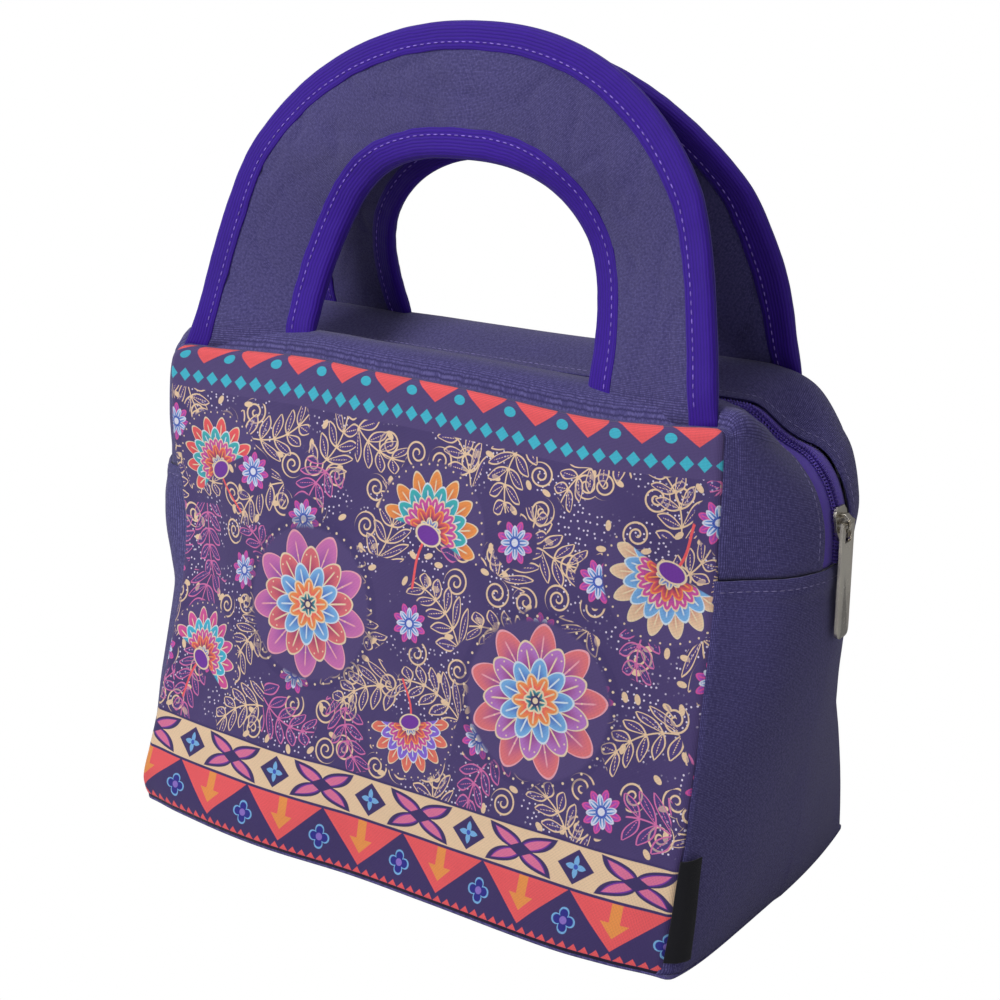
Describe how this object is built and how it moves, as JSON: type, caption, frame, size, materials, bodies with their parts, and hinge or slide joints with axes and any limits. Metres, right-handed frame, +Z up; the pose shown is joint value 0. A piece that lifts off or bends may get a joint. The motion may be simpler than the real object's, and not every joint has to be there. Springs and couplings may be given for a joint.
{
  "type": "insulated lunch bag",
  "caption": "Soft insulated lunch bag with a zipped folding top, a pull tab on the slider and padded arch carry handles.",
  "frame": {"origin": "middle of the base, on the surface that the bag stands on", "axes": "+Z up, the decorated front faces -Y, the zipper slider is on the +X side"},
  "size_m": [0.2996, 0.144, 0.3165],
  "materials": {
    "printed_fabric": "printed plain-weave polyester",
    "plain_fabric": "fine twill polyester",
    "binding": "ribbed grosgrain tape",
    "zip_tape": "woven zipper tape",
    "zip_coil": "nylon coil",
    "nickel": "nickel plated",
    "label": "black woven label, blank",
    "foam": "closed-cell foam",
    "lining": "silver heat-reflecting film",
    "board": "matt sheet",
    "seam_tape": "woven tape"
  },
  "bodies": {
    "bag": {"front_panel_lower": "printed_fabric", "back_panel_lower": "plain_fabric", "side_panel_right": "plain_fabric", "side_panel_left": "plain_fabric", "base_panel": "plain_fabric", "base_board": "board", "base_foam": "foam", "base_lining": "lining", "front_foam_lower": "foam", "back_foam_lower": "foam", "side_foam_right": "foam", "side_foam_left": "foam", "front_lining_lower": "lining", "back_lining_lower": "lining", "side_lining_right": "lining", "side_lining_left": "lining", "front_seam_tape_lower": "seam_tape", "back_seam_tape_lower": "seam_tape", "side_label": "label", "front_tape_end_right": "zip_tape", "front_tape_end_left": "zip_tape", "back_tape_end_right": "zip_tape", "back_tape_end_left": "zip_tape", "front_coil_end_right": "zip_coil", "front_coil_end_left": "zip_coil", "back_coil_end_right": "zip_coil", "back_coil_end_left": "zip_coil"},
    "front_top": {"front_panel_upper": "printed_fabric", "front_top_strip": "plain_fabric", "front_strip_foam": "foam", "front_strip_lining": "lining", "front_foam_upper": "foam", "front_lining_upper": "lining", "front_seam_tape_upper": "seam_tape", "front_zip_tape": "zip_tape", "front_zip_coil": "zip_coil"},
    "back_top": {"back_panel_upper": "plain_fabric", "back_top_strip": "plain_fabric", "back_strip_foam": "foam", "back_strip_lining": "lining", "back_foam_upper": "foam", "back_lining_upper": "lining", "back_seam_tape_upper": "seam_tape", "back_zip_tape": "zip_tape", "back_zip_coil": "zip_coil"},
    "front_handle": {"front_handle_face": "plain_fabric", "front_handle_backing": "plain_fabric", "front_handle_core": "foam", "front_handle_outer_binding": "binding", "front_handle_inner_binding": "binding"},
    "back_handle": {"back_handle_face": "plain_fabric", "back_handle_backing": "plain_fabric", "back_handle_core": "foam", "back_handle_outer_binding": "binding", "back_handle_inner_binding": "binding"},
    "slider": {"slider_body": "nickel", "slider_crown": "nickel", "lock_pawl": "nickel"},
    "pull_tab": {"pull_tab": "nickel"}
  },
  "joints": [
    {"name": "front_top_fold", "type": "hinge", "parent": "bag", "child": "front_top", "pos_m": [0, -0.04957, 0.136], "axis": [1, 0, 0], "range_deg": [0, 28]},
    {"name": "back_top_fold", "type": "hinge", "parent": "bag", "child": "back_top", "pos_m": [0, 0.04957, 0.136], "axis": [-1, 0, 0], "range_deg": [0, 28]},
    {"name": "front_handle_swing", "type": "hinge", "parent": "front_top", "child": "front_handle", "pos_m": [0, -0.04083, 0.18981], "axis": [1, 0, 0], "range_deg": [0, 160]},
    {"name": "back_handle_swing", "type": "hinge", "parent": "back_top", "child": "back_handle", "pos_m": [0, 0.0407, 0.19026], "axis": [-1, 0, 0], "range_deg": [0, 160]},
    {"name": "slider_run", "type": "hinge", "parent": "bag", "child": "slider", "pos_m": [0.10483, 0, 0.145], "axis": [0, 1, 0], "range_deg": [-82, 0]},
    {"name": "pull_tab_swing", "type": "hinge", "parent": "slider", "child": "pull_tab", "pos_m": [0.15019, 0, 0.15137], "axis": [0, -1, 0], "range_deg": [0, 165]}
  ]
}
